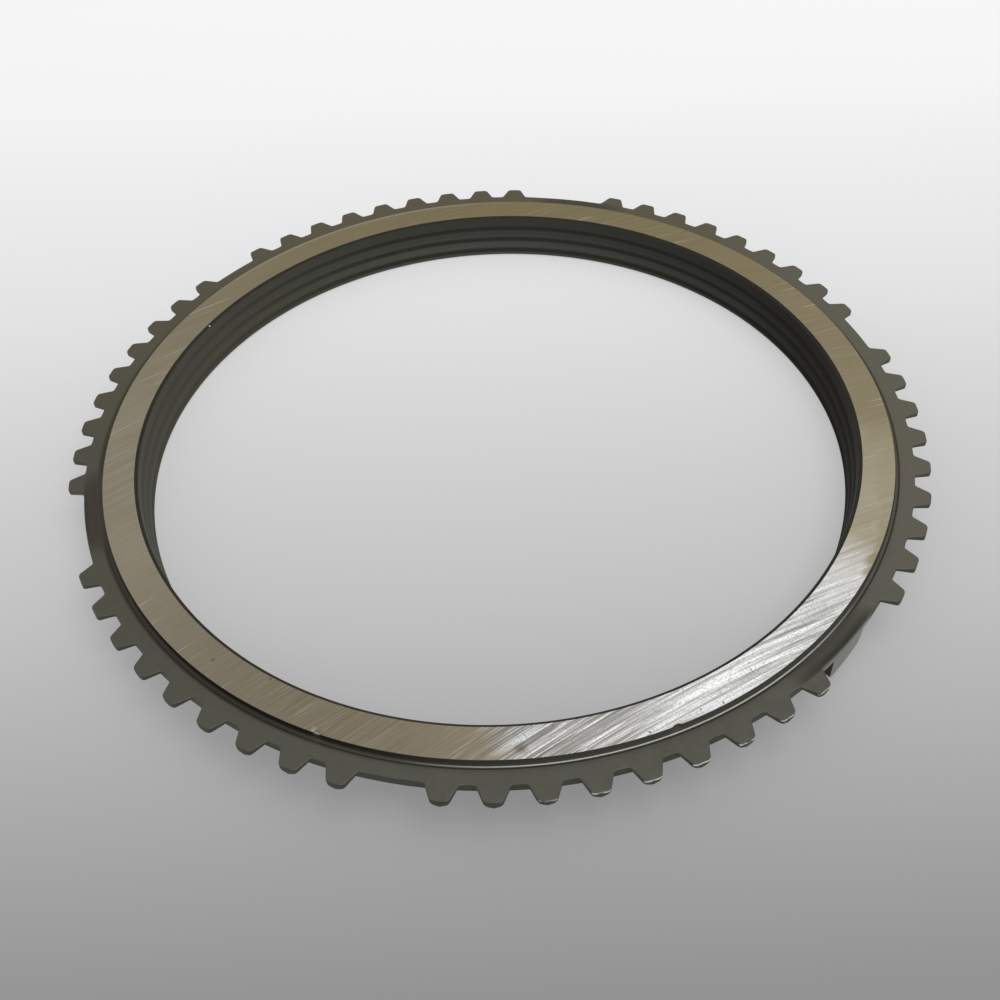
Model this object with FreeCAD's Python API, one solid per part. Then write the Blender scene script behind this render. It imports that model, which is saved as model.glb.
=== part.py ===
import FreeCAD, Part
import math
import os

from FreeCAD import Vector

# Synchronizer ring of a heavy vehicle gearbox: one forged and turned steel ring.
# Millimetres. +Z is the ring's axis. The origin is the centre of the small end of the cone,
# on which the ring rests, so the ground gear-side face looks up.

# Blocking teeth around the rim, proportioned to a standard module
module = 2.5
pitch_count = 63
tooth_width_ratio = 0.49
tip_height_ratio = 0.5
root_depth_ratio = 0.66
flank_angle = 23.5
tip_corner_radius = 0.7
blocking_angle = 24.0

# Six groups of teeth: a group ends in turn at a large gap and at a small gap
gap_pairs = 3
large_gap_tooth_count = 2
small_gap_tooth_count = 1
first_large_gap_angle = 76.34

# Turned section, from the tooth roots inwards and from the ground face down
rim_land_width = 3.6
face_width = 5.8
ring_height = 9.6
step_height = 1.0
flange_thickness = 1.7
mouth_chamfer_width = 0.55
mouth_chamfer_depth = 0.35
cone_half_angle = 6.0
skirt_wall = 4.3
skirt_bevel = 0.8
bottom_chamfer = 0.4

# Shallow turned recess in the rim at the foot of the step
recess_width = 1.0
recess_floor_width = 0.7
recess_depth = 0.2

# Oil grooves turned around the friction cone, each with a flat floor and two sloping sides
groove_count = 3
groove_width = 1.4
groove_floor_width = 0.6
groove_bite = 0.3
mouth_land = 1.85
small_end_land = 0.2

# Driving lugs under the rim, one in the middle of each large gap
lug_length = 11.0
lug_depth = 4.3
lug_corner_radius = 1.5

# Shallow milled scallop on the rim at each large gap, over its first missing tooth
scallop_span_angle = 16.4
scallop_dip = 0.16

# Places that follow from the sizes above
pitch_angle = 360.0 / pitch_count
pitch_radius = module * pitch_count / 2.0
tooth_width = tooth_width_ratio * math.pi * module
tip_radius = pitch_radius + tip_height_ratio * module
root_radius = pitch_radius - root_depth_ratio * module
face_radius = root_radius - rim_land_width
mouth_radius = face_radius - face_width
rim_top = ring_height - step_height
rim_underside = rim_top - flange_thickness
cone_slope = math.tan(math.radians(cone_half_angle))
cone_top = ring_height - mouth_chamfer_depth
first_groove_height = bottom_chamfer + small_end_land + groove_width / 2.0
grooved_length = cone_top - mouth_land - groove_width / 2.0 - first_groove_height
groove_pitch = grooved_length / (groove_count - 1)
teeth_per_pair = pitch_count // gap_pairs - large_gap_tooth_count - small_gap_tooth_count
margin = 2.0


def bore_radius(height):
    """Radius of the friction cone at a height above the small end."""
    return mouth_radius - mouth_chamfer_width - (cone_top - height) * cone_slope


def section_point(radius, height):
    return Vector(radius, 0, height)


def line(start, end):
    return Part.LineSegment(start, end).toShape()


def arc(start, middle, end):
    return Part.Arc(start, middle, end).toShape()


def straight_edges(points):
    return [line(start, end) for start, end in zip(points, points[1:])]


def on_bore(height, bite=0.0):
    return section_point(bore_radius(height) + bite, height)


def groove_points(centre):
    """One oil groove at the height of its middle, from its lower lip to its upper lip."""
    return [
        on_bore(centre - groove_width / 2.0),
        on_bore(centre - groove_floor_width / 2.0, groove_bite),
        on_bore(centre + groove_floor_width / 2.0, groove_bite),
        on_bore(centre + groove_width / 2.0),
    ]


def bore_points():
    """Friction cone from the chamfer at its small end up to the mouth chamfer."""
    points = [on_bore(bottom_chamfer)]
    for number in range(groove_count):
        points.extend(groove_points(first_groove_height + number * groove_pitch))
    return points + [on_bore(cone_top)]


def face_points():
    """Ground face, the wall of the step outside it and the recess at the foot of the wall."""
    recess_floor = rim_top - recess_depth
    return [
        section_point(mouth_radius, ring_height),
        section_point(face_radius, ring_height),
        section_point(face_radius, recess_floor),
        section_point(face_radius + recess_floor_width, recess_floor),
        section_point(face_radius + recess_width, rim_top),
    ]


def rim_points():
    """Rim, left wider than the tooth tips, and the bevel below it down to the skirt."""
    corner_radius = bore_radius(rim_underside) + skirt_wall
    return [
        section_point(tip_radius + margin, rim_top),
        section_point(tip_radius + margin, rim_underside),
        section_point(corner_radius + skirt_bevel, rim_underside),
        section_point(corner_radius - skirt_bevel * cone_slope, rim_underside - skirt_bevel),
    ]


def foot_points():
    """Small end of the skirt, with a chamfer on both of its edges."""
    skirt_radius = bore_radius(bottom_chamfer) + skirt_wall
    return [
        section_point(skirt_radius, bottom_chamfer),
        section_point(skirt_radius - bottom_chamfer, 0),
        section_point(bore_radius(bottom_chamfer) + bottom_chamfer, 0),
    ]


def ring_blank():
    """The turned ring before its teeth are cut."""
    points = face_points() + rim_points() + foot_points() + bore_points()
    section = Part.Wire(straight_edges(points + points[:1]))
    return Part.Face(section).revolve(Vector(0, 0, 0), Vector(0, 0, 1), 360)


def turned(point, angle):
    """Point of a tooth drawn about its own middle line, x along the rim and y outwards."""
    turn = math.radians(angle)
    along = Vector(-math.sin(turn), math.cos(turn), 0)
    outward = Vector(math.cos(turn), math.sin(turn), 0)
    return along * point.x + outward * point.y


def flank_direction():
    lean = math.radians(flank_angle)
    return Vector(-math.sin(lean), math.cos(lean), 0)


def flank_at(radius):
    """Where the right-hand flank of a tooth that stands on the Y axis reaches a radius."""
    half_width = tooth_width / 2.0
    pitch_point = Vector(half_width, math.sqrt(pitch_radius**2 - half_width**2), 0)
    along = pitch_point.dot(flank_direction())
    travel = math.sqrt(along**2 - pitch_radius**2 + radius**2) - along
    return pitch_point + flank_direction() * travel


def tip_corner():
    """Rounded corner of that tooth: where it leaves the flank, its middle, where it meets the flat tip."""
    rise = flank_direction() * ((tip_radius - flank_at(tip_radius).y) / flank_direction().y)
    corner = flank_at(tip_radius) + rise
    turn = math.radians(90.0 - flank_angle)
    reach = tip_corner_radius * math.tan(turn / 2.0)
    on_tip = corner - Vector(reach, 0, 0)
    centre = on_tip - Vector(0, tip_corner_radius, 0)
    middle = centre + (corner - centre).normalize() * tip_corner_radius
    return corner - flank_direction() * reach, middle, on_tip


def mirrored(point):
    return Vector(-point.x, point.y, 0)


def tooth_edges(angle):
    """Outline of one tooth, from its root on one side to its root on the other."""
    right_side = [flank_at(root_radius), *tip_corner()]
    left = [turned(mirrored(point), angle) for point in right_side]
    right = [turned(point, angle) for point in right_side]
    edges = [
        line(left[0], left[1]),
        arc(left[1], left[2], left[3]),
        line(left[3], right[3]),
        arc(right[3], right[2], right[1]),
        line(right[1], right[0]),
    ]
    return left[0], edges, right[0]


def large_gap_angles():
    return [first_large_gap_angle + pair * 360.0 / gap_pairs for pair in range(gap_pairs)]


def tooth_angles():
    """Middle line of every tooth, counted round from the first large gap."""
    gap_to_tooth = (large_gap_tooth_count + 1) / 2.0 * pitch_angle
    first_group = (teeth_per_pair + 1) // 2
    angles = []
    for gap_angle in large_gap_angles():
        for number in range(teeth_per_pair):
            skipped = small_gap_tooth_count if number >= first_group else 0
            angles.append(gap_angle + gap_to_tooth + (number + skipped) * pitch_angle)
    return angles


def root_edge(start, end):
    """Root from one tooth to the next: straight across a tooth space, round across a gap."""
    first = math.atan2(start.y, start.x)
    sweep = (math.atan2(end.y, end.x) - first) % (2.0 * math.pi)
    if sweep < math.radians(pitch_angle):
        return line(start, end)
    middle_angle = first + sweep / 2.0
    middle = Vector(math.cos(middle_angle), math.sin(middle_angle), 0) * root_radius
    return arc(start, middle, end)


def toothed_outline():
    """Whole rim outline, raised to a block that trims the turned blank."""
    teeth = [tooth_edges(angle) for angle in tooth_angles()]
    edges = []
    for number, (start, tooth, end) in enumerate(teeth):
        next_start = teeth[(number + 1) % len(teeth)][0]
        edges.extend(tooth)
        edges.append(root_edge(end, next_start))
    block = Part.Face(Part.Wire(edges)).extrude(Vector(0, 0, ring_height + 2.0 * margin))
    block.translate(Vector(0, 0, -margin))
    return block


def blocking_cutter():
    """Cuts the two blocking chamfers under a tooth that stands on the X axis."""
    tooth_root = flank_at(root_radius).y
    half_width = tooth_width
    rise = half_width * math.tan(math.radians(blocking_angle))
    low = rim_underside - margin
    outline = Part.makePolygon([
        Vector(tooth_root, -half_width, low),
        Vector(tooth_root, half_width, low),
        Vector(tooth_root, half_width, rim_underside + rise),
        Vector(tooth_root, 0, rim_underside),
        Vector(tooth_root, -half_width, rim_underside + rise),
        Vector(tooth_root, -half_width, low),
    ])
    return Part.Face(outline).extrude(Vector(tip_radius - tooth_root + margin, 0, 0))


def around_axis(shape, angle):
    copy = shape.copy()
    copy.rotate(Vector(0, 0, 0), Vector(0, 0, 1), angle)
    return copy


def driving_lug():
    """Block from the skirt out to the root circle, on the X axis, with rounded foot corners."""
    half = lug_length / 2.0
    inside = bore_radius(rim_underside) + skirt_wall / 2.0
    top = rim_underside + flange_thickness / 2.0
    foot = rim_underside - lug_depth
    ease = lug_corner_radius
    ease_middle = ease * (1.0 - math.sqrt(0.5))

    def at(along, height):
        return Vector(inside, along, height)

    outline = Part.Wire([
        line(at(-half, top), at(-half, foot + ease)),
        arc(at(-half, foot + ease), at(ease_middle - half, foot + ease_middle), at(ease - half, foot)),
        line(at(ease - half, foot), at(half - ease, foot)),
        arc(at(half - ease, foot), at(half - ease_middle, foot + ease_middle), at(half, foot + ease)),
        line(at(half, foot + ease), at(half, top)),
        line(at(half, top), at(-half, top)),
    ])
    block = Part.Face(outline).extrude(Vector(root_radius - inside + margin, 0, 0))
    return block.common(Part.makeCylinder(root_radius, ring_height))


def rim_scallop():
    """Shallow dip across the rim on the X axis, deepest in its middle and fading at both ends."""
    half_chord = root_radius * math.sin(math.radians(scallop_span_angle / 2.0))
    cutter_radius = (half_chord**2 + scallop_dip**2) / (2.0 * scallop_dip)
    axis_height = rim_top + cutter_radius - scallop_dip
    start = Vector(face_radius, 0, axis_height)
    roller = Part.makeCylinder(cutter_radius, margin + root_radius - face_radius, start, Vector(1, 0, 0))
    band_start = face_radius + recess_width
    outer = Part.makeCylinder(root_radius, margin, Vector(0, 0, rim_top - margin / 2.0))
    inner = Part.makeCylinder(band_start, margin, Vector(0, 0, rim_top - margin / 2.0))
    return outer.cut(inner).common(roller)


def synchronizer_ring():
    ring = ring_blank().common(toothed_outline())
    cutter = blocking_cutter()
    ring = ring.cut([around_axis(cutter, angle) for angle in tooth_angles()])
    lug = driving_lug()
    ring = ring.fuse([around_axis(lug, angle) for angle in large_gap_angles()])
    scallop = rim_scallop()
    first_missing = [angle - pitch_angle / 2.0 for angle in large_gap_angles()]
    ring = ring.cut([around_axis(scallop, angle) for angle in first_missing])
    return ring.removeSplitter()


os.makedirs("parts", exist_ok=True)
ring = synchronizer_ring()
solids = ring.Solids
print("solids", len(solids), "valid", ring.isValid(), "volume", round(ring.Volume, 1))
print("box", ring.BoundBox)
solids[0].exportStep("parts/synchronizer_ring.step")
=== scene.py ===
# %% [markdown]
# # A used synchronizer ring
#
# This ring sits between a gear and the shift sleeve of a gearbox. Its cone grips the gear, and its
# teeth hold the sleeve back until both turn at one speed. It is one piece of steel: a turned ring,
# with teeth cut into its rim, lugs below the rim and one face ground flat. The lesson models it as
# one closed mesh and gives each region the finish that its last machining step left on it.

# %% Load the frame
import math

import bmesh
import bpy
from mathutils import Matrix, Vector


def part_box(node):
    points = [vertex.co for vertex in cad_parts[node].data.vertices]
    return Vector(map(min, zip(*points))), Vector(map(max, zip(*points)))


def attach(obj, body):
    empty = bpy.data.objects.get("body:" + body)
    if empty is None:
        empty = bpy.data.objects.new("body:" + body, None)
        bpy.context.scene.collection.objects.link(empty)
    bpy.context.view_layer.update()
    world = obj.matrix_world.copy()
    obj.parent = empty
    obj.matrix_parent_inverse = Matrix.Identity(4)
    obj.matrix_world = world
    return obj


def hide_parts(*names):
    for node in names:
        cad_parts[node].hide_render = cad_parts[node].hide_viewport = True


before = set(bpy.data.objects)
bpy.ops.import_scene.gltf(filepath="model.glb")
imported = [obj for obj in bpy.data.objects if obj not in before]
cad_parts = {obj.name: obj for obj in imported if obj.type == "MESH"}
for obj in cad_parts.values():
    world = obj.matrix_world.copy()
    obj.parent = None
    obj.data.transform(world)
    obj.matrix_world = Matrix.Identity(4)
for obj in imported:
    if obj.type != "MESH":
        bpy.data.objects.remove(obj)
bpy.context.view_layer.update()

# %% [markdown]
# ## Sizes
#
# A ring like this is drawn from its tooth module. Sixty-three pitches and tips that stand half a
# module above the pitch circle make the tip circle 32 modules in radius, so the module can be read
# back from the frame. The other sizes are those of the real ring, in millimetres.

# %% Take the driving sizes from the frame
mm = 0.001
ring_low, ring_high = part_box("synchronizer_ring")
ring_height = round((ring_high[2] - ring_low[2]) / mm, 3)
pitch_count = 63
module = round((ring_high[1] - ring_low[1]) / 2 / (pitch_count / 2 + 0.5) / mm, 2)
pitch_radius = module * pitch_count / 2
tip_radius = pitch_radius + 0.49 * module
root_radius = pitch_radius - 0.66 * module
face_radius = root_radius - 3.6
mouth_radius = face_radius - 5.8
rim_top = ring_height - 1.0
rim_underside = rim_top - 1.7
cone_slope = math.tan(math.radians(6.0))
cone_top = ring_height - 0.35
cone_mouth_radius = mouth_radius - 0.55
skirt_wall = 4.3
print("module", module, "height", ring_height, "tips", tip_radius, "face", face_radius)

# %% [markdown]
# ## The section of the turned ring
#
# On the lathe the ring is a solid of revolution, so one closed section says nearly all of it. The
# section is written as stations, in order round the metal, and each keeps the name of its region. A
# revolve modifier would lose those names, so the section is spun in mesh code and each vertex carries
# its station number. The first stations are the ground face, the step at its outer edge and the
# shallow recess that the tool left at the foot of the step.

# %% Write the stations of the face, the step and the recess
stations = []


def add_stations(region, points, **rule):
    """Adds points of one region, each a radius and a height in millimetres."""
    for radius, height in points:
        stations.append({"region": region, "radius": radius, "height": height, **rule})


edge = 0.05
add_stations("face", [
    (mouth_radius + edge, ring_height),
    (mouth_radius + 1.0, ring_height),
    (face_radius - 1.2, ring_height),
    (face_radius - 0.6, ring_height),
])
recess_floor = rim_top - 0.2
add_stations("step", [
    (face_radius - edge, ring_height),
    (face_radius, ring_height - edge),
    (face_radius, recess_floor + 0.25),
])
add_stations("recess", [
    (face_radius + 0.07, recess_floor + 0.07),
    (face_radius + 0.25, recess_floor),
    (face_radius + 0.65, recess_floor),
    (face_radius + 0.82, recess_floor + 0.06),
])
print("stations to the recess", len(stations))

# %% [markdown]
# ## Rim and tooth edge
#
# The rim is flat on top and ends in the tooth edge, whose corners are broken by a small chamfer. A
# rule goes with the stations that later steps move: some dip in the scallops, some follow a tooth's
# outline or its chamfered underside, one stays at the root of the teeth, and two hang down to the
# foot of a lug.

# %% Write the stations of the rim and the tooth edge
add_stations("rim", [
    (face_radius + 0.95, rim_top - 0.03),
    (face_radius + 1.10, rim_top),
    (root_radius - 1.60, rim_top),
    (root_radius - 0.02, rim_top),
], dips=True)
add_stations("rim", [(root_radius + 0.03, rim_top)])
top_break = 0.18
add_stations("tooth", [
    (root_radius - top_break, rim_top),
    (root_radius - 0.3 * top_break, rim_top - 0.3 * top_break),
    (root_radius, rim_top - top_break),
], outline=True)
low_break = 0.10
add_stations("tooth", [
    (root_radius, rim_underside + low_break),
    (root_radius - 0.3 * low_break, rim_underside + 0.3 * low_break),
    (root_radius - low_break, rim_underside),
], outline=True, chamfered=True)
add_stations("tooth", [(root_radius, rim_underside)], root=True)
add_stations("lug", [
    (root_radius, rim_underside + 0.06),
    (root_radius - 0.06, rim_underside),
], hangs=True)
print("stations to the lug", len(stations))

# %% [markdown]
# ## Skirt and cone
#
# Below the rim the wall tapers with the friction cone inside it, and a fillet joins the two. Three
# round grooves in the cone let the oil escape. Boolean cuts would break the even columns, so each
# groove is five stations of the section. It closes at the chamfered mouth, where it meets the ground
# face again.

# %% Write the stations of the skirt and the cone
fillet_steps = 5
skirt_fillet = 1.0


def bore_radius(height):
    return cone_mouth_radius - (cone_top - height) * cone_slope


def skirt_radius(height):
    return bore_radius(height) + skirt_wall


def fillet_point(level, size, share):
    """Point of the fillet from a surface at a level down to the skirt."""
    turn = share * math.pi / 2
    out = size * (1 - math.sin(turn))
    down = size * (1 - math.cos(turn))
    return skirt_radius(level - down) + out, level - down


add_stations("skirt", [
    fillet_point(rim_underside, skirt_fillet, step / (fillet_steps - 1)) for step in range(fillet_steps)
], fillet=True)
foot = 0.4
add_stations("skirt", [
    (skirt_radius(1.8), 1.8),
    (skirt_radius(foot + edge), foot + edge),
    (skirt_radius(foot) - edge, foot - edge),
    (skirt_radius(foot) - foot, 0.0),
    (bore_radius(foot) + foot, 0.0),
])
add_stations("cone", [(bore_radius(foot), foot)])
groove_width = 1.4
groove_bite = 0.3
groove_heights = [1.3, 4.0, 6.7]
for height in groove_heights:
    for share in (-1.0, -0.6, 0.0, 0.6, 1.0):
        level = height + share * groove_width / 2
        depth = groove_bite * (1 - share**2)
        add_stations("cone", [(bore_radius(level) + depth, level)])
add_stations("mouth", [(cone_mouth_radius, cone_top), (mouth_radius, ring_height - edge)])
print("stations", len(stations))

# %% [markdown]
# ## Spin the section
#
# One tooth pitch is spun in 24 steps, starting in the middle of a tooth space, so that a tooth can be
# shaped by its column numbers. A second spin repeats the finished pitch 62 times, which is much
# quicker than 1512 small steps. The columns that meet are then welded.

# %% Spin the section about the ring's axis
columns_per_pitch = 24
column_count = pitch_count * columns_per_pitch
pitch_angle = 2 * math.pi / pitch_count
column_angle = pitch_angle / columns_per_pitch
large_gap_angle = math.radians(76.34)
start_angle = large_gap_angle + pitch_angle

ring = bmesh.new()
station_layer = ring.verts.layers.int.new("station")
section = []
for number, station in enumerate(stations):
    radius = station["radius"] * mm
    place = (radius * math.cos(start_angle), radius * math.sin(start_angle), station["height"] * mm)
    vertex = ring.verts.new(place)
    vertex[station_layer] = number
    section.append(vertex)
section_edges = [ring.edges.new((section[n - 1], section[n])) for n in range(len(section))]
bmesh.ops.spin(
    ring, geom=section + section_edges, cent=(0, 0, 0), axis=(0, 0, 1),
    angle=pitch_angle, steps=columns_per_pitch,
)
one_pitch = ring.verts[:] + ring.edges[:] + ring.faces[:]
bmesh.ops.spin(
    ring, geom=one_pitch, cent=(0, 0, 0), axis=(0, 0, 1),
    angle=2 * math.pi - pitch_angle, steps=pitch_count - 1, use_duplicate=True,
)
bmesh.ops.remove_doubles(ring, verts=ring.verts, dist=0.001 * mm)
bmesh.ops.recalc_face_normals(ring, faces=ring.faces)


def column_of(vertex):
    angle = math.atan2(vertex.co.y, vertex.co.x) - start_angle
    return round(angle / column_angle) % column_count


columns = {vertex: column_of(vertex) for vertex in ring.verts}
print("spun vertices", len(ring.verts), "faces", len(ring.faces))

# %% [markdown]
# ## The outline of a tooth
#
# A hob leaves straight flanks with a fillet at the root, and the tip corners are rounded so that the
# sleeve slides past. Both roundings touch the flank and a circle about the axis, so one formula finds
# either. The outline is worked out for half a pitch, from the middle of the space to the middle of
# the tooth, and can be drawn inset, which the broken edges need.

# %% Work out half a pitch of the outline
tooth_width = 0.49 * math.pi * module
flank_angle = math.radians(23.5)
root_fillet = 0.6
tip_corner = 0.85
flank_normal = Vector((math.cos(flank_angle), math.sin(flank_angle)))
flank_up = Vector((-math.sin(flank_angle), math.cos(flank_angle)))
pitch_point = Vector((tooth_width / 2, math.sqrt(pitch_radius**2 - (tooth_width / 2) ** 2)))


def rounding(circle, size, side, inset, steps):
    """Points from the circle to the flank; side is 1 for the root fillet and -1 for the tip corner."""
    reach = flank_normal.dot(pitch_point) - inset + side * size
    rise = math.sqrt((circle + side * size) ** 2 - reach**2)
    centre = flank_normal * reach + flank_up * rise
    outward = centre.normalized()
    turn = outward.angle_signed(flank_normal)
    points = []
    for step in range(steps + 1):
        spoke = Matrix.Rotation(-turn * step / steps, 2) @ outward
        points.append(centre - side * size * spoke)
    return points


def half_outline(inset):
    """Half a pitch as x along the rim and y outwards, in millimetres."""
    root = root_radius - inset
    tip = tip_radius - inset
    half_pitch = pitch_angle / 2
    space_middle = Vector((root * math.sin(half_pitch), root * math.cos(half_pitch)))
    fillet = rounding(root, root_fillet + inset, 1, inset, 3)
    corner = rounding(tip, tip_corner - inset, -1, inset, 4)
    corner.reverse()
    flank_middle = (fillet[-1] + corner[0]) / 2
    tip_end = corner[-1]
    tip_quarter = Vector((tip_end.x / 2, math.sqrt(tip**2 - (tip_end.x / 2) ** 2)))
    return [space_middle, *fillet, flank_middle, *corner, tip_quarter, Vector((0, tip))]


outlines = {}
for inset in (0.0, 0.3 * top_break, top_break, 0.3 * low_break, low_break):
    outlines[round(inset, 4)] = half_outline(inset)
print("outline points for half a pitch", len(outlines[0.0]))

# %% [markdown]
# ## Where the teeth stand
#
# Six groups of nine teeth stand between three large gaps and three small ones. The underside of each
# tooth rises from its middle line to both sides: these two slopes are the blocking chamfers that the
# sleeve pushes on. The helpers here answer, for any column of the spun ring, whether it belongs to a
# tooth, and where its outline and its underside lie.

# %% Lay out the teeth
group_pitches = pitch_count // 3
teeth_in_group = 9
chamfer_slope = math.tan(math.radians(24.0))
chamfer_reach = 2.45


def has_tooth(pitch):
    place = pitch % group_pitches
    return place < teeth_in_group or teeth_in_group < place <= 2 * teeth_in_group


def on_tooth(column):
    pitch, step = divmod(column, columns_per_pitch)
    return has_tooth(pitch) and 2 <= step <= columns_per_pitch - 2


def underside(along):
    return rim_underside + min(abs(along), chamfer_reach) * chamfer_slope


def outline_point(column, inset):
    """A tooth's outline at a column: along the rim, outwards, and the tooth's middle angle."""
    pitch, step = divmod(column, columns_per_pitch)
    half = columns_per_pitch // 2
    side = -1 if step < half else 1
    index = step if step < half else columns_per_pitch - step
    point = outlines[round(inset, 4)][index]
    return side * point.x, point.y, start_angle + (pitch + 0.5) * pitch_angle


tooth_count = sum(has_tooth(pitch) for pitch in range(pitch_count))
print("teeth", tooth_count)

# %% [markdown]
# ## Push the teeth out of the rim
#
# The outer stations of the spun ring lie on the root circle. They could be extruded tooth by tooth,
# but every column already has its vertices, so it is enough to move them: out to the outline on a
# tooth, and up to the chamfers below it. The rim's last stations follow just inside that outline.

# %% Shape the teeth
wall_height = underside(chamfer_reach)
least_rise = 0.12
wall_lap = 0.1
inner_gap, outer_gap = 0.08, 0.04


def set_round(vertex, radius, angle, height):
    vertex.co = (radius * math.cos(angle) * mm, radius * math.sin(angle) * mm, height * mm)


def move_outline(vertex, station, column, angle):
    """The tooth edge goes out to the outline, or stays on the root circle in a space."""
    height = station["height"]
    if on_tooth(column):
        along, outward, middle = outline_point(column, root_radius - station["radius"])
        if station.get("chamfered"):
            height = underside(along) + height - rim_underside
        x = outward * math.cos(middle) - along * math.sin(middle)
        y = outward * math.sin(middle) + along * math.cos(middle)
        vertex.co = (x * mm, y * mm, height * mm)
    elif station.get("chamfered"):
        set_round(vertex, root_radius, angle, wall_height + height - rim_underside)


def move_root(vertex, column, angle):
    """The root of a tooth's underside stays on the wall of the rim."""
    if on_tooth(column):
        along, outward, middle = outline_point(column, 0.0)
        turn = math.atan2(along, outward)
        height = max(underside(root_radius * math.sin(turn)), rim_underside + least_rise)
        set_round(vertex, root_radius, middle + turn, height)
    else:
        set_round(vertex, root_radius, angle, wall_height - wall_lap)


def move_rim(vertex, station, column, angle):
    """The rim's last stations keep just inside the tooth edge."""
    limit = root_radius - top_break
    if on_tooth(column):
        along, outward, middle = outline_point(column, top_break)
        limit = math.hypot(along, outward)
        angle = middle + math.atan2(along, outward)
    gap = inner_gap if station.get("dips") else outer_gap
    set_round(vertex, min(station["radius"], limit - gap), angle, station["height"])


for vertex in ring.verts:
    station = stations[vertex[station_layer]]
    column = columns[vertex]
    angle = start_angle + column * column_angle
    if station.get("outline"):
        move_outline(vertex, station, column, angle)
    elif station.get("root"):
        move_root(vertex, column, angle)
    elif station["region"] == "rim" and station["radius"] > root_radius - 1.0:
        move_rim(vertex, station, column, angle)
print("vertices after the teeth", len(ring.verts))

# %% [markdown]
# ## Lugs
#
# A lug hangs below the rim in each large gap and drives the ring through a slot in the hub. It reaches
# further to one side of the gap's middle than to the other, one of its corners is worn rounder, and
# its foot slopes a little. A box pushed into the ring would leave loose walls inside, so the stations
# under the rim drop to that foot, and the columns near the ends slide onto the corners.

# %% Shape the lugs and the fillet above the skirt
lug_sides = {
    -1: {"end": 5.4, "corner": 0.7, "flat_columns": 13},
    1: {"end": 3.3, "corner": 1.6, "flat_columns": 5},
}
corner_columns = 4
end_lean = 0.03
lug_foot = rim_underside - 3.9
foot_slope = 0.17
lug_fillet = 0.3


def columns_from(column, target_angle):
    """Signed number of columns from an angle, the short way round."""
    offset = start_angle + column * column_angle - target_angle
    offset = (offset + math.pi) % (2 * math.pi) - math.pi
    return offset / column_angle


def nearest_gap(column):
    gaps = [large_gap_angle + n * 2 * math.pi / 3 for n in range(3)]
    return min(gaps, key=lambda gap: abs(columns_from(column, gap)))


def lug_column(column):
    """The gap, the distance along the lug or None past it, and the height of the foot there."""
    gap = nearest_gap(column)
    offset = round(columns_from(column, gap))
    count = abs(offset)
    side = 1 if offset > 0 else -1
    end, corner, flat_columns = lug_sides[side].values()
    if count <= flat_columns:
        along = side * count / flat_columns * (end - corner)
        return gap, along, lug_foot + foot_slope * along
    if count <= flat_columns + corner_columns:
        turn = (count - flat_columns) / corner_columns * math.pi / 2
        along = side * (end - corner + corner * math.sin(turn))
        return gap, along, lug_foot + foot_slope * along + corner * (1 - math.cos(turn))
    if count == flat_columns + corner_columns + 1:
        return gap, side * (end + end_lean), rim_underside
    return gap, None, rim_underside


fillet_numbers = [n for n, station in enumerate(stations) if station.get("fillet")]
for vertex in ring.verts:
    number = vertex[station_layer]
    station = stations[number]
    if not station.get("hangs") and not station.get("fillet"):
        continue
    column = columns[vertex]
    gap, along, level = lug_column(column)
    angle = start_angle + column * column_angle if along is None else gap + along / root_radius
    if station.get("hangs"):
        set_round(vertex, station["radius"], angle, level + station["height"] - rim_underside)
    else:
        size = skirt_fillet if level == rim_underside else lug_fillet
        share = fillet_numbers.index(number) / (fillet_steps - 1)
        fillet_radius, fillet_height = fillet_point(level, size, share)
        set_round(vertex, fillet_radius, angle, fillet_height)
print("lug foot", round(lug_foot, 3), "fillet stations", len(fillet_numbers))

# %% [markdown]
# ## Scallops
#
# Beside each lug a cutter has left a shallow scallop on the rim, deepest in its middle and gone at
# both ends. A boolean cut this shallow would leave slivers of faces, so the rim's own stations dip by
# a parabola instead.

# %% Dip the rim in the scallops
scallop_half = math.radians(8.2)
scallop_dip = 0.16
dipped = 0
for vertex in ring.verts:
    station = stations[vertex[station_layer]]
    column = columns[vertex]
    top_edge = station.get("outline") and not station.get("chamfered") and not on_tooth(column)
    if not station.get("dips") and not top_edge:
        continue
    scallop_middle = nearest_gap(column) - pitch_angle / 2
    share = columns_from(column, scallop_middle) * column_angle / scallop_half
    if abs(share) < 1:
        vertex.co.z -= scallop_dip * (1 - share**2) * mm
        dipped += 1
print("dipped vertices", dipped)

# %% [markdown]
# ## Marks of use on the step's edge
#
# The ring has been in service. A shallow bite is gone from the outer edge of the ground face, and
# further round a small chip has broken away. Both are moves of the few stations along that edge.

# %% Knock the edge about
chip_angle = 246.2
edge_marks = [
    {"angle": 289.95, "half_width": 0.7, "inward": 0.3, "down": 0.0},
    {"angle": chip_angle, "half_width": 0.75, "inward": 0.30, "down": 0.35},
]
for vertex in ring.verts:
    station = stations[vertex[station_layer]]
    if station["region"] != "step":
        continue
    for mark in edge_marks:
        offset = columns_from(columns[vertex], math.radians(mark["angle"])) * column_angle
        share = 1 - (offset * face_radius / mark["half_width"]) ** 2
        if share > 0:
            depth = math.sqrt(share)
            planar = Vector((vertex.co.x, vertex.co.y, 0)).normalized()
            vertex.co -= planar * mark["inward"] * depth * mm
            if station["height"] > ring_height - 2 * edge:
                vertex.co.z -= mark["down"] * depth * mm
print("edge marks", len(edge_marks))

# %% [markdown]
# ## One object, region by region
#
# Each face belongs to the region of its first station, and the region will pick its finish. Edges
# that turn more than 35 degrees stay sharp, and all others are shaded smooth, so the turned walls
# look round and the machined corners stay crisp.

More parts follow.
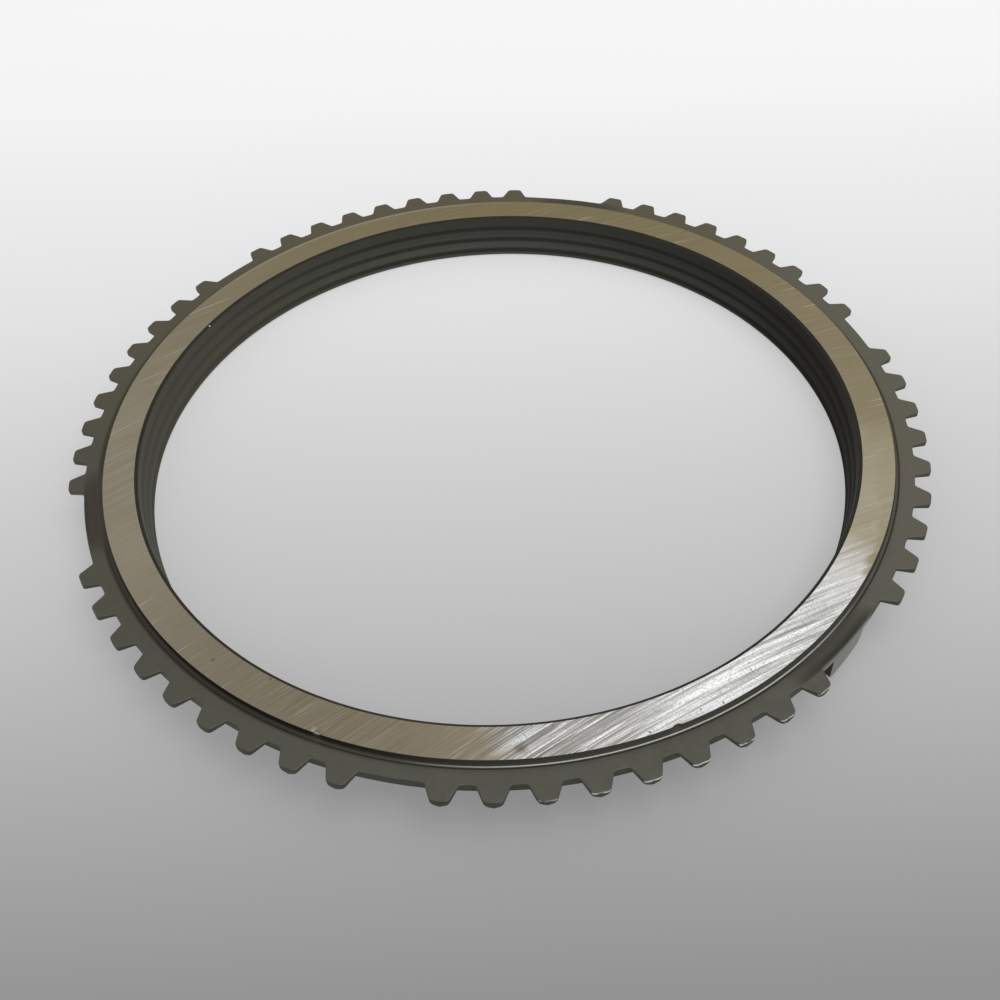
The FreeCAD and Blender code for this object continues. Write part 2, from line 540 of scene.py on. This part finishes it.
# %% Make the object
regions = ["face", "step", "recess", "rim", "tooth", "lug", "skirt", "cone", "mouth"]
for face in ring.faces:
    numbers = sorted({vertex[station_layer] for vertex in face.verts})
    first = numbers[0] if numbers[-1] - numbers[0] == 1 else numbers[-1]
    face.material_index = regions.index(stations[first]["region"])
    face.smooth = True
for line in ring.edges:
    line.smooth = line.calc_face_angle(0.0) < math.radians(35)
ring_mesh = bpy.data.meshes.new("ring")
ring.to_mesh(ring_mesh)
ring.free()
ring_object = bpy.data.objects.new("ring", ring_mesh)
bpy.context.scene.collection.objects.link(ring_object)
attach(ring_object, "root")
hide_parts("synchronizer_ring")
print("ring faces", len(ring_mesh.polygons))

# %% [markdown]
# ## Helpers for the finishes
#
# A finish is a node tree, and wiring it by hand takes many lines. These short calls make one node
# each and return the socket that the next one needs, so a finish reads like a formula. Noise takes
# its place from Object coordinates, so nothing depends on an image or on where the camera stands.

# %% Colours and nodes


def linear(red, green, blue):
    """A colour given as eye values from 0 to 255, as the linear colour that a shader takes."""
    def one(value):
        share = value / 255
        return share / 12.92 if share <= 0.04045 else ((share + 0.055) / 1.055) ** 2.4
    return (one(red), one(green), one(blue), 1.0)


class NodeTree:
    """One material with short calls for the nodes used here."""

    def __init__(self, name):
        self.material = bpy.data.materials.new(name)
        self.material.use_nodes = True
        self.tree = self.material.node_tree
        self.shader = self.tree.nodes["Principled BSDF"]
        self.place = self.node("ShaderNodeTexCoord").outputs["Object"]

    def node(self, kind, **settings):
        node = self.tree.nodes.new(kind)
        for name, value in settings.items():
            setattr(node, name, value)
        return node

    def feed(self, socket, value):
        if isinstance(value, bpy.types.NodeSocket):
            self.tree.links.new(value, socket)
        else:
            socket.default_value = value

    def set(self, name, value):
        self.feed(self.shader.inputs[name], value)

    def math(self, operation, first, second=0.0, third=0.0):
        node = self.node("ShaderNodeMath", operation=operation)
        for socket, value in zip(node.inputs, (first, second, third)):
            self.feed(socket, value)
        return node.outputs[0]

    def times(self, first, second):
        return self.math("MULTIPLY", first, second)

    def noise(self, vector, scale, detail=3.0, roughness=0.6):
        node = self.node("ShaderNodeTexNoise")
        self.feed(node.inputs["Vector"], vector)
        for name, value in (("Scale", scale), ("Detail", detail), ("Roughness", roughness)):
            node.inputs[name].default_value = value
        return node.outputs["Fac"]

    def ramp(self, value, low, high, out_low=0.0, out_high=1.0, smooth=False):
        kind = "SMOOTHSTEP" if smooth else "LINEAR"
        node = self.node("ShaderNodeMapRange", interpolation_type=kind)
        sockets = ("Value", "From Min", "From Max", "To Min", "To Max")
        for name, number in zip(sockets, (value, low, high, out_low, out_high)):
            self.feed(node.inputs[name], number)
        return node.outputs[0]

    def mix(self, share, first, second):
        node = self.node("ShaderNodeMix", data_type="RGBA")
        for socket, value in zip((0, 6, 7), (share, first, second)):
            self.feed(node.inputs[socket], value)
        return node.outputs[2]

    def cover(self, base, coats):
        """Lays coats on a base in turn, each a share and a colour."""
        for share, colour in coats:
            base = self.mix(share, base, colour)
        return base

    def parts(self, vector):
        node = self.node("ShaderNodeSeparateXYZ")
        self.feed(node.inputs[0], vector)
        return node.outputs

    def vector(self, x, y, z):
        node = self.node("ShaderNodeCombineXYZ")
        for socket, value in zip(node.inputs, (x, y, z)):
            self.feed(socket, value)
        return node.outputs[0]

    def bump(self, height, distance, strength):
        node = self.node("ShaderNodeBump")
        for name, value in (("Strength", strength), ("Distance", distance), ("Height", height)):
            self.feed(node.inputs[name], value)
        self.set("Normal", node.outputs[0])


print("node helpers ready")

# %% [markdown]
# ## Masks by place
#
# Wear, oil and stains lie in known places on the ring, so their masks are made from places too: a
# direction from the axis, a radius, a height, or the distance from one point. A painted mask would
# need an image, and these stay sharp at any size.

# %% Places on the ring


def ring_point(degrees, radius, height):
    """A point in millimetres, by its direction and distance from the ring's axis."""
    turn = math.radians(degrees)
    return radius * math.cos(turn), radius * math.sin(turn), height


class Finish(NodeTree):
    """A node tree that also knows places on the ring."""

    def height(self):
        return self.parts(self.place)[2]

    def length(self, x, y):
        return self.math("SQRT", self.math("ADD", self.times(x, x), self.times(y, y)))

    def radius(self):
        """Distance from the ring's axis, in metres."""
        x, y, _ = self.parts(self.place)
        return self.length(x, y)

    def facing(self, degrees):
        """1 in a direction from the axis, -1 opposite to it."""
        x, y, _ = self.parts(self.place)
        turn = math.radians(degrees)
        both = self.math("MULTIPLY_ADD", y, math.sin(turn), self.times(x, math.cos(turn)))
        return self.math("DIVIDE", both, self.radius())

    def sector(self, degrees, full, none):
        """1 up to some degrees either side of a direction, fading to 0 further out."""
        low, high = math.cos(math.radians(none)), math.cos(math.radians(full))
        return self.ramp(self.facing(degrees), low, high)

    def three_sectors(self, degrees, full, none):
        """The same sector three times, a third of a turn apart."""
        total = 0.0
        for turn in range(3):
            total = self.math("ADD", total, self.sector(degrees + 120 * turn, full, none))
        return total

    def between(self, value, low, high, soft):
        """1 where a value in metres lies between two limits in millimetres, with soft ends."""
        rise = self.ramp(value, (low - soft) * mm, (low + soft) * mm)
        fall = self.ramp(value, (high - soft) * mm, (high + soft) * mm, 1.0, 0.0)
        return self.times(rise, fall)

    def below(self, value, low, high, most=1.0):
        """Most of a coat below one limit in millimetres and none above the other."""
        return self.ramp(value, low * mm, high * mm, most, 0.0)

    def distance(self, point):
        """Distance from a point given in millimetres, in metres."""
        node = self.node("ShaderNodeVectorMath", operation="DISTANCE")
        self.feed(node.inputs[0], self.place)
        node.inputs[1].default_value = [size * mm for size in point]
        return node.outputs["Value"]

    def spot(self, point, inner, outer):
        """1 within the inner distance of a point, fading to 0 at the outer one."""
        return self.below(self.distance(point), inner, outer)


gap_direction = math.degrees(large_gap_angle)
print("first large gap at", round(gap_direction, 2), "degrees")

# %% [markdown]
# ## Phosphated steel
#
# The forging and its turned and hobbed surfaces are phosphated, a grey-green crystal coat that holds
# oil. It is dull and fine grained. One recipe dresses the rim, the teeth, the lugs and the skirt, and
# each place has its own depth of colour. Where something else happened to the coat, a mark says with
# a mask how much of a second colour shows.

# %% Recipe for the phosphated finish


def phosphated(name, colour, dark, roughness=0.5, metallic=0.3, gloss=0.5, marks=()):
    finish = Finish(name)
    mottle = finish.ramp(finish.noise(finish.place, 420.0, 5.0, 0.65), 0.32, 0.68)
    cloud = finish.ramp(finish.noise(finish.place, 38.0, 2.0, 0.5), 0.3, 0.7)
    depth = finish.math("MULTIPLY_ADD", cloud, 0.3, finish.times(mottle, 0.3))
    specks = finish.ramp(finish.noise(finish.place, 1300.0, 2.0, 0.5), 0.74, 0.80, 0.0, 0.4)
    base = finish.mix(depth, colour, dark)
    base = finish.mix(specks, base, linear(150, 150, 142))
    base = finish.cover(base, [(mask(finish), other) for mask, other in marks])
    finish.set("Base Color", base)
    finish.set("Metallic", metallic)
    finish.set("Specular IOR Level", gloss)
    finish.set("Roughness", finish.ramp(mottle, 0.0, 1.0, roughness - 0.05, roughness + 0.07))
    finish.bump(finish.noise(finish.place, 2600.0, 3.0, 0.6), 0.02 * mm, 0.3)
    return finish.material


skirt_finish = phosphated("phosphated skirt", linear(84, 83, 74), linear(66, 64, 54))
# The underside of the rim and the ends of the lugs get a darker colour: painted shade, for they lie in
# shadow under the rim.
underside_painted_shade_finish = phosphated("underside and lug ends", linear(66, 62, 50), linear(52, 48, 38), 0.6, 0.0, 0.3)
print("finished the skirt and the underside")

# %% [markdown]
# ## Teeth and lug flanks
#
# The shift sleeve has met the tips of some teeth, and bright metal shows in patches along their upper edge;
# on the near right these patches are also a painted highlight. The lugs and the edge of the rim above them
# are a lighter grey. These marks fade out softly, so each is a mark over the coat and not a second material,
# which would end at the edge of a face.

# %% Finish of the tooth edge


def tip_wear_and_glint(finish):
    """Bright patches along the upper edge of the tooth tips: wear where they met the sleeve, and a painted
    highlight.
    """
    upper_edge = finish.between(finish.height(), rim_top - 0.62, rim_top - 0.16, 0.06)
    tip = finish.ramp(finish.radius(), (tip_radius - 0.35) * mm, (tip_radius - 0.15) * mm)
    patches = finish.ramp(finish.noise(finish.place, 1100.0, 3.0, 0.7), 0.40, 0.52)
    # The sector keeps the patches to the near right, where they are also a painted highlight of the lamp.
    side = finish.sector(293, 12, 25)
    return finish.times(finish.times(upper_edge, tip), finish.times(patches, side))


def lug_flank(finish):
    """Lighter grey on the lugs and on the edge of the rim above them."""
    lug = finish.below(finish.height(), rim_underside - 0.35, rim_underside - 0.15)
    rim_edge = finish.below(finish.height(), rim_top - 0.45, rim_top - 0.25, 0.9)
    in_gap = finish.three_sectors(gap_direction - 1.5, 4.8, 6.0)
    return finish.math("MAXIMUM", lug, finish.times(rim_edge, in_gap))


tooth_finish = phosphated(
    "phosphated tooth edge", linear(80, 80, 72), linear(64, 64, 56),
    marks=[(tip_wear_and_glint, linear(235, 235, 230)), (lug_flank, linear(146, 148, 141))])
print("finished the tooth edge")

# %% [markdown]
# ## The top of the rim
#
# The coat is paler on the right of the ring and browner at the back and on the left. The scallops are darker
# and browner. On the left, the corner of the step and the edge of the rim beside it are darker. Vertex
# colours could hold these tints too, but a mask by direction says each of them in one line.

# %% Finish of the rim


def brown_back(finish):
    return finish.ramp(finish.facing(80), -0.7, 0.9, smooth=True)


def brown_left(finish):
    return finish.ramp(finish.facing(180), 0.45, 0.9, 0.0, 0.35)


def pale_right(finish):
    return finish.ramp(finish.facing(2), 0.6, 0.95, 0.0, 0.8)


def left_darkening(finish):
    return finish.ramp(finish.facing(200), 0.45, 0.8)


def left_dark_ring(finish):
    """Darker on the left, in the recess and on the edge of the rim beside it."""
    wet = finish.below(finish.radius(), face_radius + 1.15, face_radius + 1.45)
    return finish.times(wet, left_darkening(finish))


def scallop_shade(finish):
    """The scallops, up to the root of the teeth."""
    half = math.degrees(scallop_half)
    middle = gap_direction - math.degrees(pitch_angle) / 2
    rim_only = finish.below(finish.radius(), root_radius - 0.6, root_radius + 0.1, 0.85)
    return finish.times(finish.three_sectors(middle, 0.55 * half, half), rim_only)


def scallop_oil(finish):
    return finish.times(scallop_shade(finish), left_darkening(finish))


rim_finish = phosphated(
    "phosphated rim", linear(75, 75, 64), linear(65, 65, 54),
    marks=[
        (brown_back, linear(82, 75, 54)),
        (pale_right, linear(88, 85, 72)),
        (brown_left, linear(68, 63, 44)),
        (scallop_shade, linear(51, 50, 38)),
        (scallop_oil, linear(50, 43, 24)),
        (left_dark_ring, linear(54, 47, 35)),
    ])
print("finished the rim")

# %% [markdown]
# ## Step and recess
#
# The step at the edge of the ground face and the recess at its foot are where oil collects and turns brown.
# Beside the rubbed sector of the face the step is lighter, which is painted light, a painted highlight runs
# as a line along the floor of the recess, and painted shade darkens the rise of the recess. These lines are
# thinner than a face of the mesh, so masks by radius draw them.

# %% Finish of the step and the recess
rubbed_and_lit_side = 289


def recess_highlight_line(finish):
    """A painted highlight along the floor of the recess."""
    line = finish.between(finish.radius(), face_radius + 0.34, face_radius + 0.52, 0.06)
    return finish.times(line, finish.sector(rubbed_and_lit_side, 16, 32))


def recess_rise_shade(finish):
    """Painted shade where the recess rises to the rim, most of it beside the rubbed sector."""
    line = finish.between(finish.radius(), face_radius + 0.70, face_radius + 0.95, 0.05)
    return finish.times(line, finish.ramp(finish.facing(rubbed_and_lit_side + 1), 0.1, 0.9, 0.1, 0.9))


def recess_foot(finish):
    """The fillet at the foot of the step is as dark as the step."""
    return finish.below(finish.radius(), face_radius + 0.24, face_radius + 0.34)


def brown_right(finish):
    """Old oil has browned the step and the recess on the right."""
    return finish.ramp(finish.facing(18), 0.6, 0.9, 0.0, 0.8)


# Painted light: the step is lighter on the near right, where the light falls on it.
def step_painted_light(finish):
    return finish.ramp(finish.facing(305), 0.55, 0.95, 0.0, 0.9)


def torn_burr(finish):
    """Bright torn metal at the chip in the step's edge."""
    return finish.spot(ring_point(chip_angle, face_radius, ring_height - 0.25), 0.25, 0.7)


recess_finish = phosphated(
    "turned recess", linear(86, 85, 76), linear(70, 68, 58),
    marks=[
        (brown_right, linear(72, 60, 42)),
        (left_dark_ring, linear(54, 47, 35)),
        (recess_foot, linear(38, 36, 28)),
        (recess_rise_shade, linear(40, 38, 30)),
        (recess_highlight_line, linear(205, 205, 198)),
    ])
step_finish = phosphated(
    "oil stained step", linear(46, 44, 35), linear(30, 28, 21), 0.6, 0.0, 0.3,
    marks=[
        (step_painted_light, linear(78, 77, 69)),
        (brown_right, linear(66, 54, 36)),
        (left_darkening, linear(27, 23, 15)),
        (torn_burr, linear(225, 223, 214)),
    ])
print("finished the step and the recess")

# %% [markdown]
# ## Mouth and friction cone
#
# The bore is turned with fine threads so that oil can escape into three broad grooves. Service has darkened
# it, and its colour is darker still in the grooves and on the side turned from the light: painted shade.
# Modelled threads would need very many faces. They run round the ring, so noise that depends on height alone
# gives the turning marks, and a little wander keeps them from looking drawn. The chamfer at the mouth is
# nearly black with old oil, apart from one bright nick.

# %% Finish of the mouth and the friction cone


def mouth_nick(finish):
    return finish.spot(ring_point(150.5, mouth_radius - 0.37, ring_height - 0.15), 0.10, 0.26)


def groove_shade(finish):
    """Painted shade in the grooves, darkest where the light doesn't reach them."""
    total = 0.0
    for height in groove_heights:
        inside = finish.between(finish.height(), height - 0.45, height + 0.55, 0.15)
        total = finish.math("ADD", total, inside)
    return finish.times(total, finish.ramp(finish.facing(190), 0.2, 0.8, 0.8, 0.1))


def friction_cone():
    finish = Finish("friction cone")
    wander = finish.noise(finish.place, 30.0, 2.0, 0.5)
    level = finish.vector(0.0, 0.0, finish.math("MULTIPLY_ADD", wander, 0.12 * mm, finish.height()))
    fine = finish.times(finish.noise(level, 5200.0, 2.0, 0.7), 0.4)
    threads = finish.math("MULTIPLY_ADD", finish.noise(level, 1300.0, 2.0, 0.6), 0.6, fine)
    upper_half = finish.ramp(finish.height(), 3.0 * mm, 7.5 * mm, 0.0, 0.6)
    base = finish.mix(finish.ramp(threads, 0.35, 0.65), linear(60, 60, 53), linear(80, 82, 74))
    base = finish.cover(base, [
        (finish.ramp(finish.facing(175), 0.2, 0.8, 0.0, 0.7), linear(68, 67, 52)),
        (finish.times(upper_half, finish.ramp(finish.facing(175), 0.2, 0.9, 1.0, 0.25)), linear(38, 37, 30)),
        (groove_shade(finish), linear(30, 29, 24)),
        # Painted shade: the side of the bore turned from the light, most of all the right, is darker.
        (finish.ramp(finish.facing(165), -0.9, 0.3, 0.6, 0.0), linear(22, 21, 17)),
        # Painted shade, browner: the right end of the bore is darker still.
        (finish.ramp(finish.facing(350), 0.7, 0.98, 0.0, 0.85), linear(28, 24, 16)),
    ])
    finish.set("Base Color", base)
    finish.set("Metallic", 0.1)
    finish.set("Roughness", 0.6)
    finish.set("Specular IOR Level", finish.ramp(finish.facing(0), 0.2, 0.9, 0.3, 0.12))
    finish.bump(threads, 0.04 * mm, 0.6)
    return finish.material


mouth_finish = phosphated(
    "black mouth chamfer", linear(46, 43, 33), linear(30, 28, 21), 0.6, 0.0, 0.15,
    marks=[(mouth_nick, linear(210, 208, 200))])
cone_finish = friction_cone()
print("finished the mouth and the cone")

# %% [markdown]
# ## Scratches of the ground face
#
# A cup wheel has ground the face flat and left long, faintly curved scratches: arcs about a far
# centre. Distance from that centre runs across the scratches, and the angle about it runs along
# them, so noise drawn out in these two measures gives scratches of any width and length. Anisotropic
# gloss would show a direction too, but not the single scratches.

# %% Grinding scratches
grinding_centre = (0.162, -0.317)
grinding_radius = 0.30


def grinding_marks(finish):
    """Scratches of several widths, with the grain and the blotches of the metal."""
    x, y, _ = finish.parts(finish.place)
    from_x = finish.math("SUBTRACT", x, grinding_centre[0])
    from_y = finish.math("SUBTRACT", y, grinding_centre[1])
    across = finish.length(from_x, from_y)
    along = finish.times(finish.math("ARCTAN2", from_y, from_x), grinding_radius)

    def scratches(cross_scale, along_scale, detail=2.0):
        place = finish.vector(finish.times(across, cross_scale), finish.times(along, along_scale), 0.0)
        return finish.noise(place, 1.0, detail, 0.6)

    cross = finish.ramp(scratches(300.0, 2600.0, 1.0), 0.66, 0.74)
    in_patches = finish.ramp(finish.noise(finish.place, 700.0, 1.0), 0.5, 0.6)
    return {
        "fine": scratches(4200.0, 55.0, 3.0),
        "middle": scratches(1500.0, 40.0),
        "broad": scratches(420.0, 22.0),
        "deep": finish.ramp(scratches(2300.0, 70.0, 1.0), 0.66, 0.74),
        "cross": finish.times(cross, in_patches),
        "grain": finish.noise(finish.place, 3200.0, 3.0, 0.7),
        "blotch": finish.noise(finish.place, 90.0, 3.0, 0.6),
    }


print("grinding centre in metres", grinding_centre)

# %% [markdown]
# ## Oil film and bare sector
#
# Over most of the ring a thin oil film tans the steel khaki, browner at the back. One sector was rubbed bare
# since then and is white and streaky, and its brightness is partly a painted reflection of the key lamp. A
# plain sector would end in a straight line, so the broad scratches and the blotches push its limit to and
# fro, and the film looks torn along them.

# %% Colours of the ground face
bare_and_reflection_direction = 307.0


def film_gone_and_reflection(finish, marks):
    """1 where the film is rubbed off, which is also where the painted reflection of the lamp shows. A last
    strip of it clings to the outer edge.
    """
    torn = finish.times(finish.math("SUBTRACT", marks["broad"], 0.5), 0.24)
    ragged = finish.times(finish.math("SUBTRACT", marks["blotch"], 0.5), 0.12)
    outer_edge = finish.ramp(finish.radius(), (face_radius - 3.9) * mm, (face_radius - 0.5) * mm)
    last_film = finish.times(outer_edge, finish.ramp(finish.facing(352), 0.72, 0.97))
    limit = finish.math("ADD", finish.math("ADD", finish.facing(bare_and_reflection_direction), torn), ragged)
    limit = finish.math("MULTIPLY_ADD", last_film, -0.20, limit)
    return finish.ramp(limit, 0.745, 0.815, smooth=True)


def khaki_film(finish, marks):
    """Steel under the film, with fine scuffs and a painted highlight along its outer edge at the back."""
    scuffs = finish.ramp(marks["fine"], 0.40, 0.66)
    edge_highlight = finish.ramp(finish.radius(), (face_radius - 0.9) * mm, (face_radius - 0.3) * mm)
    back = finish.ramp(finish.facing(75), -0.3, 0.9)
    base = finish.mix(back, linear(158, 148, 128), linear(138, 126, 90))
    return finish.cover(base, [
        (finish.ramp(finish.facing(345), 0.2, 1.0, 0.0, 0.6), linear(148, 137, 105)),
        # Painted shade: darker toward 250 degrees, to hold back the lamp's sheen there.
        (finish.ramp(finish.facing(250), 0.70, 1.0, 0.0, 0.8), linear(116, 107, 88)),
        # Painted reflection: a narrow lighter band toward 343 degrees, where the bright sector fades out.
        (finish.ramp(finish.facing(343), 0.97, 0.995, 0.0, 0.7), linear(172, 164, 138)),
        (finish.ramp(marks["blotch"], 0.3, 0.7, 0.0, 0.25), linear(128, 117, 93)),
        (finish.times(scuffs, finish.ramp(finish.facing(205), 0.2, 0.8, 0.12, 0.26)), linear(188, 182, 168)),
        (finish.ramp(marks["middle"], 0.42, 0.62, 0.0, 0.06), linear(96, 88, 74)),
        (finish.times(marks["deep"], 0.35), linear(225, 220, 204)),
        (finish.times(edge_highlight, finish.ramp(finish.facing(116), 0.85, 0.97)), linear(160, 152, 128)),
    ])


def bare_steel_and_reflection(finish, marks):
    """Steel without the film, with a painted reflection of the lamp: brightest in the middle of the sector
    and plainer at its right end.
    """
    right_end = finish.ramp(finish.facing(345), 0.6, 0.95)
    dull = finish.mix(right_end, linear(149, 147, 143), linear(166, 156, 132))
    # The bright middle and its white streaks are a painted reflection of the key lamp.
    middle = finish.ramp(finish.facing(bare_and_reflection_direction), 0.91, 0.975)
    plain = finish.mix(middle, dull, linear(238, 238, 237))
    streaked = finish.cover(plain, [
        (finish.ramp(marks["middle"], 0.40, 0.62, 0.0, 0.8), linear(130, 128, 122)),
        (finish.ramp(marks["fine"], 0.46, 0.62, 0.0, 0.7), linear(250, 250, 250)),
        (finish.ramp(marks["broad"], 0.42, 0.60, 0.0, 0.5), linear(132, 130, 124)),
        (finish.times(marks["deep"], 0.9), linear(255, 255, 255)),
        (finish.ramp(marks["grain"], 0.50, 0.62, 0.0, 0.5), linear(134, 133, 128)),
        (finish.ramp(marks["fine"], 0.34, 0.44, 0.55, 0.0), linear(112, 111, 106)),
        (finish.times(marks["cross"], 0.6), linear(90, 90, 84)),
    ])
    return finish.mix(finish.ramp(finish.facing(288), 0.72, 0.88, 0.2, 1.0), plain, streaked)


print("bare sector toward", bare_and_reflection_direction, "degrees")

# %% [markdown]
# ## Put the ground face together
#
# On top of film and bare steel come two nicks, one rust spot with a ragged edge, and small pits in
# the rubbed sector. The scratches go into the bump as well, deeper where the steel is bare, so that
# the lamp glints along them.

# %% Finish of the ground face
nicks = [
    ring_point(228.16, face_radius - 2.89, ring_height),
    ring_point(236.61, face_radius - 5.35, ring_height),
]
rust_spot = ring_point(271.0, face_radius - 1.83, ring_height)


def ground_face():
    finish = Finish("ground face")
    marks = grinding_marks(finish)
    bare = film_gone_and_reflection(finish, marks)
    ragged = finish.math("SUBTRACT", marks["blotch"], 0.5)
    rust_distance = finish.math("MULTIPLY_ADD", ragged, 4.0 * mm, finish.distance(rust_spot))
    pits = finish.ramp(finish.noise(finish.place, 850.0, 2.0, 0.5), 0.71, 0.77)
    pits = finish.times(pits, finish.ramp(finish.facing(300), 0.85, 0.93, 0.1, 0.75))
    base = finish.mix(bare, khaki_film(finish, marks), bare_steel_and_reflection(finish, marks))
    base = finish.cover(base, [(finish.spot(nick, 0.0, 0.4), linear(96, 89, 73)) for nick in nicks])
    base = finish.cover(base, [
        (finish.below(rust_distance, 0.4, 1.8, 0.9), linear(90, 78, 57)),
        (pits, linear(70, 66, 56)),
    ])
    finish.set("Base Color", base)
    finish.set("Metallic", 1.0)
    finish.set("Roughness", finish.ramp(marks["middle"], 0.3, 0.7, 0.36, 0.46))
    relief = finish.math("MULTIPLY_ADD", marks["fine"], 0.5, finish.times(marks["middle"], 0.5))
    finish.bump(relief, 0.02 * mm, finish.ramp(bare, 0.0, 1.0, 0.12, 0.5))
    return finish.material


face_finish = ground_face()
print("finished the ground face")

# %% [markdown]
# ## Dress the ring
#
# The faces already hold the number of their region, so the finishes only have to be given to the
# mesh in the same order. Separate objects for each finish would leave open seams between them.

# %% Give each region its finish
finishes = {
    "face": face_finish, "step": step_finish, "recess": recess_finish, "rim": rim_finish,
    "tooth": tooth_finish, "lug": underside_painted_shade_finish, "skirt": skirt_finish, "cone": cone_finish,
    "mouth": mouth_finish,
}
for region in regions:
    ring_mesh.materials.append(finishes[region])
print("finishes", len(ring_mesh.materials))

# %% [markdown]
# ## The floor
#
# The ring lies on a pale sheet whose colour darkens gently toward the viewer, a painted fall-off of light,
# so its tone depends on how far back a place is. Light alone would make that slope uneven and the shadow
# hard. So the camera and the steel's reflections see a little over half of the sheet's own tone as it is,
# and the rest as the lamps light it, which keeps a soft shadow under the ring.

# %% Make the floor
floor_half_width = 3.0
own_tone_share = 0.55
own_tone_strength = 0.96
floor_tones = {
    -0.9: 222, -0.5: 198, -0.25: 150, -0.17: 141, -0.105: 149,
    -0.036: 198, 0.049: 231, 0.138: 248, 0.199: 251,
}


def floor_colour(finish):
    """The tone of the sheet, a painted fall-off of light, from nearest to farthest."""
    nearest, farthest = min(floor_tones), max(floor_tones)
    tones = finish.node("ShaderNodeValToRGB")
    finish.feed(tones.inputs[0], finish.ramp(finish.parts(finish.place)[1], nearest, farthest))
    band = tones.color_ramp
    band.elements.remove(band.elements[1])
    for number, (place, tone) in enumerate(floor_tones.items()):
        share = (place - nearest) / (farthest - nearest)
        stop = band.elements[0] if number == 0 else band.elements.new(share)
        stop.position = share
        stop.color = linear(tone, tone, tone)
    return tones.outputs[0]


def floor_finish():
    finish = Finish("pale floor")
    colour = floor_colour(finish)
    grain = finish.times(finish.noise(finish.place, 900.0, 2.0, 0.5), 0.02)
    finish.set("Base Color", finish.mix(grain, colour, linear(120, 120, 120)))
    finish.set("Roughness", 0.9)
    finish.set("Specular IOR Level", 0.0)
    own_tone = finish.node("ShaderNodeEmission")
    finish.feed(own_tone.inputs["Color"], colour)
    own_tone.inputs["Strength"].default_value = own_tone_strength
    ray = finish.node("ShaderNodeLightPath")
    seen = finish.math("MAXIMUM", ray.outputs["Is Camera Ray"], ray.outputs["Is Glossy Ray"])
    blend = finish.node("ShaderNodeMixShader")
    shares = (finish.times(seen, own_tone_share), finish.shader.outputs[0], own_tone.outputs[0])
    for socket, value in zip(blend.inputs, shares):
        finish.feed(socket, value)
    finish.feed(finish.tree.nodes["Material Output"].inputs["Surface"], blend.outputs[0])
    return finish.material


floor = bmesh.new()
bmesh.ops.create_grid(floor, x_segments=1, y_segments=1, size=floor_half_width)
floor_mesh = bpy.data.meshes.new("floor")
floor.to_mesh(floor_mesh)
floor.free()
floor_mesh.materials.append(floor_finish())
floor_object = bpy.data.objects.new("floor", floor_mesh)
bpy.context.scene.collection.objects.link(floor_object)
print("floor half width in metres", floor_half_width)

# %% [markdown]
# ## Lamps and world
#
# A small soft lamp hangs beyond the ring, where its reflection falls on the near right of the ground
# face and lights up the bare sector. A wide one overhead and a plain white world fill the rest, at a
# level at which a colour renders about as it is written.

# %% Hang the lamps


def area_lamp(name, place, width, depth, power):
    """A rectangular lamp that shines at the middle of the ring."""
    lamp = bpy.data.lights.new(name, "AREA")
    lamp.shape = "RECTANGLE"
    lamp.size = width
    lamp.size_y = depth
    lamp.energy = power
    holder = bpy.data.objects.new(name, lamp)
    holder.location = place
    holder.rotation_euler = (-Vector(place)).to_track_quat("-Z", "Y").to_euler()
    bpy.context.scene.collection.objects.link(holder)


area_lamp("key lamp", (0.15, 0.36, 0.60), 0.34, 0.22, 0.15)
area_lamp("fill lamp", (0.35, -0.1, 1.25), 1.0, 1.0, 6.5)
world = bpy.data.worlds.new("studio")
bpy.context.scene.world = world
world.use_nodes = True
background = world.node_tree.nodes["Background"]
background.inputs["Color"].default_value = (1.0, 1.0, 1.0, 1.0)
background.inputs["Strength"].default_value = 0.65
print("lamps", len(bpy.data.lights))

# %% [markdown]
# ## The camera
#
# The camera stands as it did for the photograph: it looks down at 47 degrees and is rolled by not
# quite 3 degrees. Place, angles and lens were fitted together to the circles of the ring and the
# positions of its teeth.

# %% Set up the camera
camera_place = (0.00004, -0.16803, 0.16728)
look_down = math.radians(46.95)
roll = math.radians(2.84)
camera_data = bpy.data.cameras.new("camera")
camera_data.lens = 43.634
camera_data.sensor_width = 36.0
camera = bpy.data.objects.new("camera", camera_data)
turn = Matrix.Rotation(math.pi / 2 - look_down, 4, "X") @ Matrix.Rotation(-roll, 4, "Z")
camera.matrix_world = Matrix.Translation(camera_place) @ turn
bpy.context.scene.collection.objects.link(camera)
bpy.context.scene.camera = camera
bpy.context.scene.view_settings.view_transform = "Standard"
print("camera height in metres", camera_place[2])
